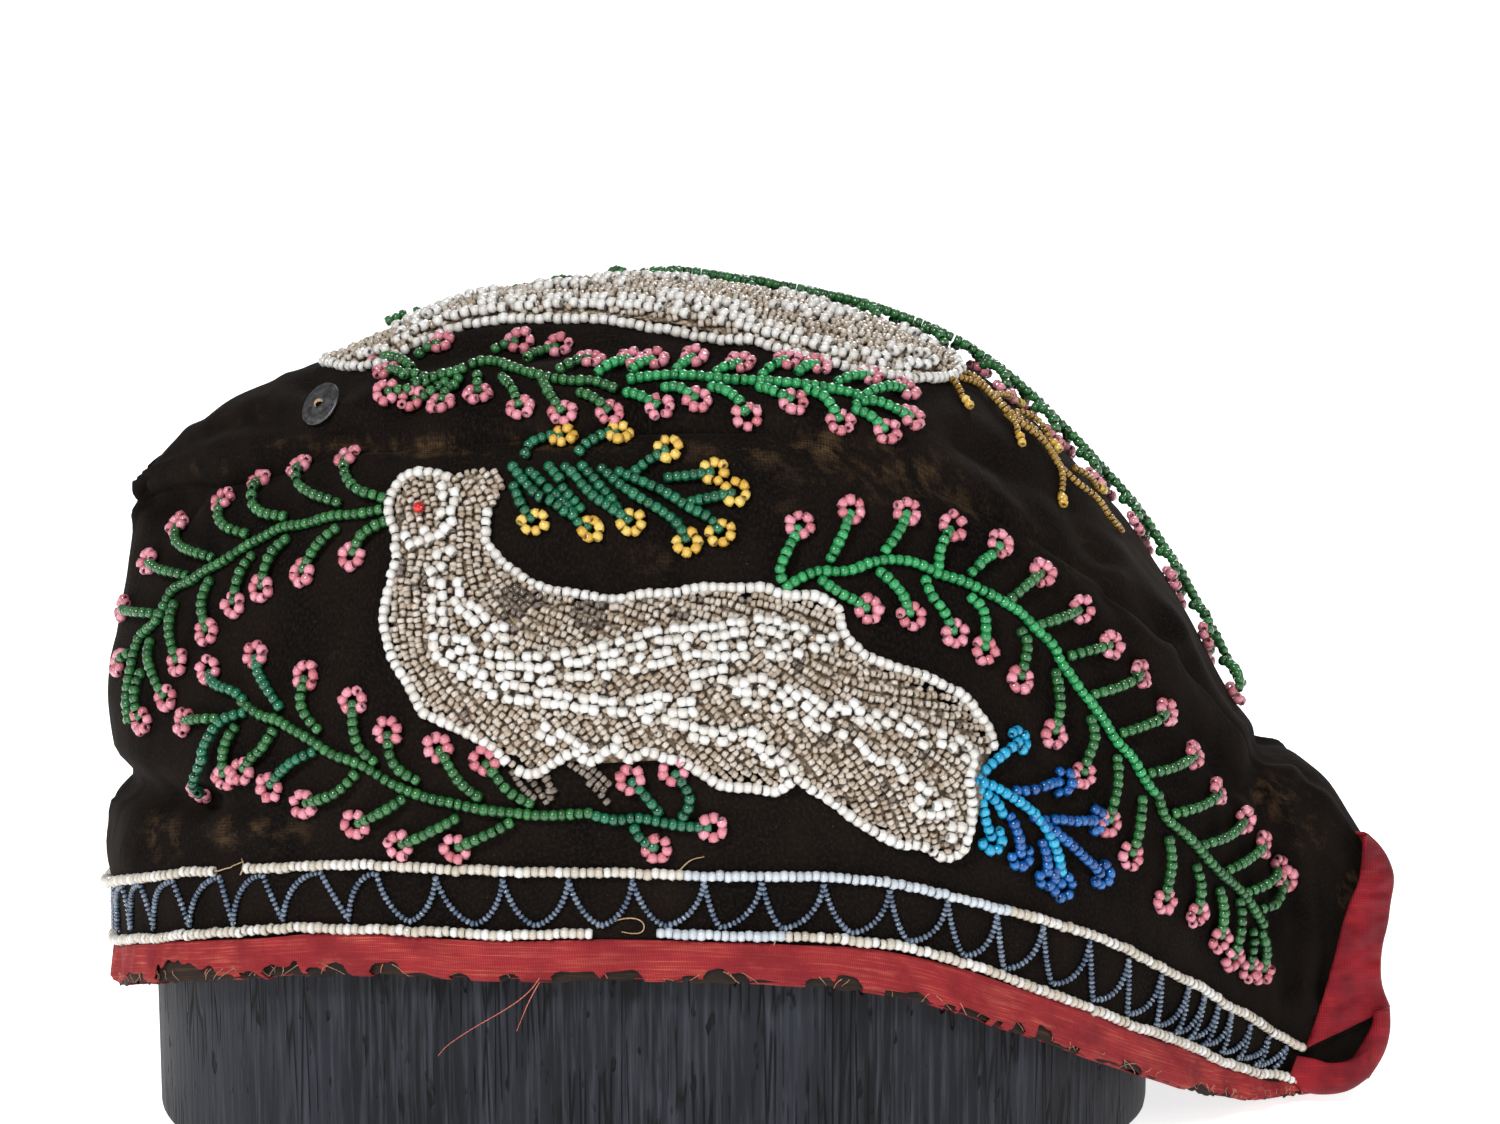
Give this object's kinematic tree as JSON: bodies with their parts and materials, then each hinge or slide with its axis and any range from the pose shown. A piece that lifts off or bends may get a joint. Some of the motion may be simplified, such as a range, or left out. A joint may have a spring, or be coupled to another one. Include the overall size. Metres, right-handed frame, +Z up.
{
  "type": "beaded glengarry cap on a wooden display block",
  "caption": "Velvet glengarry cap with raised beaded birds and sprays, beaded rim bands and a red ribbon binding, resting on an oval black wooden block.",
  "frame": {"origin": "on the surface that the block stands on, under the middle of the cap's length", "axes": "+Z up, front of the cap towards -X, tail and vent towards +X, near side towards -Y"},
  "size_m": [0.2678, 0.1498, 0.1759],
  "materials": {
    "block_wood": "black stained wood with open vertical grain, satin",
    "velvet": "near black silk velvet, rubbed brown along creases and seams",
    "lining": "coarse brown cotton, frayed",
    "ribbon": "plain woven red silk ribbon, faded and torn at its fold",
    "white_beads": "glossy opaque glass seed beads, white and clear",
    "grey_blue_beads": "translucent grey blue seed beads",
    "green_beads": "glossy opaque green seed beads with pink tips",
    "teal_beads": "glossy dark teal green seed beads with yellow tips",
    "blue_beads": "glossy turquoise and mid blue seed beads",
    "gold_beads": "clear amber seed beads",
    "sequin_metal": "dull dark metal"
  },
  "bodies": {
    "root": {"display_block": "block_wood", "crown_panel": "velvet", "edge_lining": "lining", "rim_binding": "ribbon", "bead_row_lower": "white_beads", "bead_row_upper": "white_beads", "zigzag_beads": "grey_blue_beads", "side_panel_near": "velvet", "bird_near": "white_beads", "beak_spray_near": "green_beads", "low_spray_near": "green_beads", "back_spray_near": "green_beads", "crest_sprig_near": "teal_beads", "tail_sprig_near": "blue_beads", "side_panel_far": "velvet", "bird_far": "white_beads", "beak_spray_far": "green_beads", "low_spray_far": "green_beads", "back_spray_far": "green_beads", "crest_sprig_far": "teal_beads", "tail_sprig_far": "blue_beads", "bird_top": "white_beads", "top_spray_near": "green_beads", "top_spray_far": "green_beads", "golden_sprig": "gold_beads", "sequin": "sequin_metal"}
  },
  "joints": []
}
